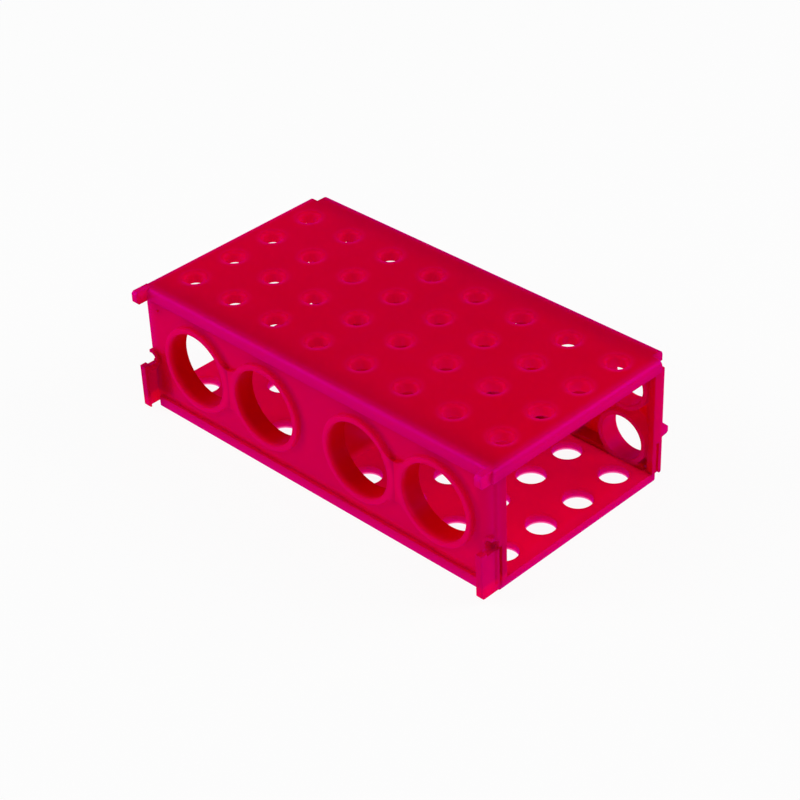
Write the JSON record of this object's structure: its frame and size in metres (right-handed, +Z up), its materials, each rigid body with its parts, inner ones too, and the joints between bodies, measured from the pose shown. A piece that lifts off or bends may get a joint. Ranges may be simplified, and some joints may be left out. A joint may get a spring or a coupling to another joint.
{
  "type": "microcentrifuge tube rack",
  "caption": "Rectangular moulded tube rack, open at both ends, with a different size of round tube hole on each long side and corner clips for linking racks.",
  "frame": {"origin": "middle of the footprint, corner ears and fins included, on the surface the rack lies on", "axes": "+X along the rack, +Y from the side with the large holes to the side with the medium holes, +Z up towards the plate with the small holes"},
  "size_m": [0.1736, 0.0964, 0.052],
  "materials": {
    "moulding": "satin"
  },
  "bodies": {
    "root": {"top_plate": "moulding", "bottom_plate": "moulding", "front_panel": "moulding", "back_panel": "moulding"}
  },
  "joints": []
}
